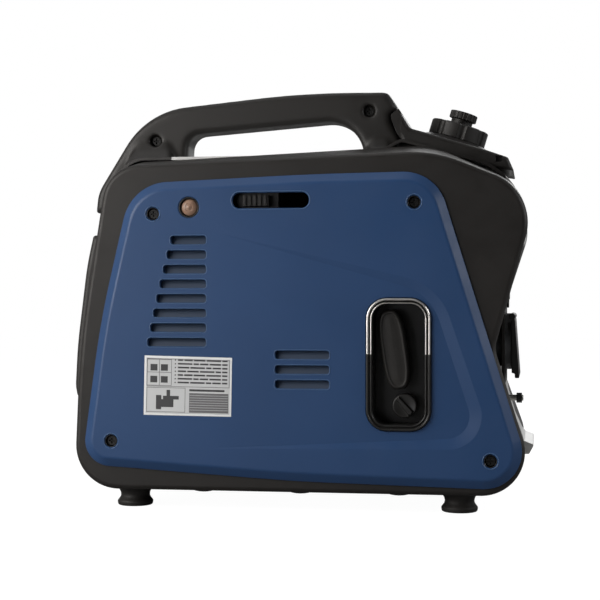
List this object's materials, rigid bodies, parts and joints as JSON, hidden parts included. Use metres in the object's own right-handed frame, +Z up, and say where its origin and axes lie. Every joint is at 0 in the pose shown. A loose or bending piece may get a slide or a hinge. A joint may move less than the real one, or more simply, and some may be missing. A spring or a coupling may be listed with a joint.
{
  "type": "portable generator",
  "caption": "Suitcase inverter generator: moulded housing, carrying handle, pull starter, leaning fuel cap, flap-covered sockets, engine and alternator inside.",
  "frame": {"origin": "on the floor, under the middle of the machine's bounding box", "axes": "+Z up, +X towards the control panel, -Y towards the recoil starter's side"},
  "size_m": [0.4595, 0.2424, 0.4178],
  "materials": {
    "black_shell": "fine moulded texture",
    "blue_cover": "satin moulded",
    "silver_panel": "silver satin",
    "black_handle": "fine moulded texture",
    "black_trim": "semi-gloss",
    "chrome_trim": "polished",
    "rubber": "moulded",
    "primer_rubber": "translucent moulded",
    "screw_steel": "black oxide",
    "zinc": "zinc plated",
    "cast_aluminium": "as cast",
    "steel": "machined",
    "iron": "laminated",
    "muffler_steel": "heat-proof paint",
    "tank_plastic": "natural",
    "grey_plastic": "moulded",
    "red_plastic": "moulded",
    "green_lens": "lens",
    "rope_fabric": "braided"
  },
  "bodies": {
    "root": {"recoil_side_shell": "black_shell", "service_side_shell": "black_shell", "recoil_side_cover": "blue_cover", "service_side_cover": "blue_cover", "top_deck": "silver_panel", "brow_panel": "silver_panel", "rear_panel": "black_shell", "base_tray": "black_shell", "front_scoop": "silver_panel", "rear_guard": "black_shell", "tank_cover": "black_handle", "handle_left_half": "black_handle", "handle_right_half": "black_handle", "housing_screws": "screw_steel", "fuel_tank": "tank_plastic", "fuel_lines": "rubber", "starter_recess": "black_trim", "recess_trim_chrome": "chrome_trim", "recess_trim_black": "black_trim", "starter_rope": "rope_fabric", "control_panel": "black_shell", "ac_sockets": "grey_plastic", "indicator_lamps": "green_lens", "dc_socket": "black_trim", "ground_stud": "zinc", "crankcase": "cast_aluminium", "engine_mounts": "rubber", "cylinder": "cast_aluminium", "cylinder_head": "cast_aluminium", "spark_plug": "zinc", "plug_cap": "rubber", "crankshaft": "steel", "connecting_rod": "cast_aluminium", "piston": "cast_aluminium", "ignition_coil": "black_trim", "stator": "iron", "recoil_housing": "grey_plastic", "carburettor": "cast_aluminium", "air_cleaner": "black_shell", "muffler": "muffler_steel", "inverter_module": "cast_aluminium", "rubber_feet": "rubber"},
    "grip": {"starter_grip": "rubber"},
    "pulley": {"starter_pulley": "grey_plastic"},
    "rotor": {"rotor": "steel", "cooling_fan": "grey_plastic"},
    "valve_knob": {"fuel_valve_knob": "black_trim"},
    "choke": {"choke_lever": "screw_steel"},
    "primer": {"primer_bulb": "primer_rubber"},
    "cap": {"fuel_cap": "black_handle"},
    "vent": {"vent_knob": "black_handle"},
    "lid_near": {"socket_lid_near": "black_trim"},
    "lid_far": {"socket_lid_far": "black_trim"},
    "engine_rocker": {"engine_switch": "red_plastic"},
    "eco_rocker": {"eco_switch": "black_trim"},
    "breaker": {"dc_breaker_button": "grey_plastic"},
    "nut": {"ground_nut": "black_trim"},
    "hatch": {"service_hatch": "blue_cover"},
    "latch": {"hatch_latch_knob": "black_trim"},
    "dipstick_cap": {"dipstick": "grey_plastic"}
  },
  "joints": [
    {"name": "starter_pull", "type": "slide", "parent": "root", "child": "grip", "axis": [0, -1, 0], "range_m": [0, 0.45]},
    {"name": "pulley_spin", "type": "hinge", "parent": "root", "child": "pulley", "pos_m": [0.096, 0, 0.118], "axis": [1, 0, 0], "range_deg": [-1, 650]},
    {"name": "rotor_spin", "type": "hinge", "parent": "root", "child": "rotor", "pos_m": [0.06, 0, 0.118], "axis": [1, 0, 0], "continuous": true},
    {"name": "fuel_valve_turn", "type": "hinge", "parent": "root", "child": "valve_knob", "pos_m": [0.106, -0.103, 0.1035], "axis": [0, -1, 0], "range_deg": [0, 90]},
    {"name": "choke_slide", "type": "slide", "parent": "root", "child": "choke", "axis": [1, 0, 0], "range_m": [0, 0.034]},
    {"name": "primer_press", "type": "slide", "parent": "root", "child": "primer", "axis": [0, 1, 0], "range_m": [0, 0.004], "stiffness_N_per_m": 400},
    {"name": "cap_turn", "type": "hinge", "parent": "root", "child": "cap", "pos_m": [0.1495, 0, 0.3682], "axis": [0.2924, 0, 0.9563], "range_deg": [0, 120]},
    {"name": "vent_turn", "type": "hinge", "parent": "cap", "child": "vent", "pos_m": [0.1568, 0, 0.392], "axis": [0.2924, 0, 0.9563], "range_deg": [0, 90]},
    {"name": "lid_near_hinge", "type": "hinge", "parent": "root", "child": "lid_near", "pos_m": [0.207, -0.028, 0.1888], "axis": [0, -1, 0], "range_deg": [0, 115]},
    {"name": "lid_far_hinge", "type": "hinge", "parent": "root", "child": "lid_far", "pos_m": [0.207, 0.028, 0.1888], "axis": [0, -1, 0], "range_deg": [0, 115]},
    {"name": "engine_switch_rock", "type": "hinge", "parent": "root", "child": "engine_rocker", "pos_m": [0.198, -0.042, 0.24], "axis": [0, 1, 0], "range_deg": [0, 12]},
    {"name": "eco_switch_rock", "type": "hinge", "parent": "root", "child": "eco_rocker", "pos_m": [0.198, -0.02, 0.24], "axis": [0, 1, 0], "range_deg": [0, 12]},
    {"name": "breaker_press", "type": "slide", "parent": "root", "child": "breaker", "axis": [-1, 0, 0], "range_m": [0, 0.003], "stiffness_N_per_m": 400},
    {"name": "ground_nut_turn", "type": "hinge", "parent": "root", "child": "nut", "pos_m": [0.214, -0.044, 0.1085], "axis": [1, 0, 0], "continuous": true},
    {"name": "hatch_lift_off", "type": "slide", "parent": "root", "child": "hatch", "axis": [0, 1, 0], "range_m": [0, 0.06]},
    {"name": "latch_turn", "type": "hinge", "parent": "hatch", "child": "latch", "pos_m": [0.016, 0.119, 0.216], "axis": [0, 1, 0], "range_deg": [0, 90]},
    {"name": "dipstick_turn", "type": "hinge", "parent": "root", "child": "dipstick_cap", "pos_m": [0.022, 0.052, 0.098], "axis": [0, 1, 0], "continuous": true}
  ],
  "couplings": [
    {"joint": "pulley_spin", "follows": "starter_pull", "rad_per_m": 25}
  ]
}
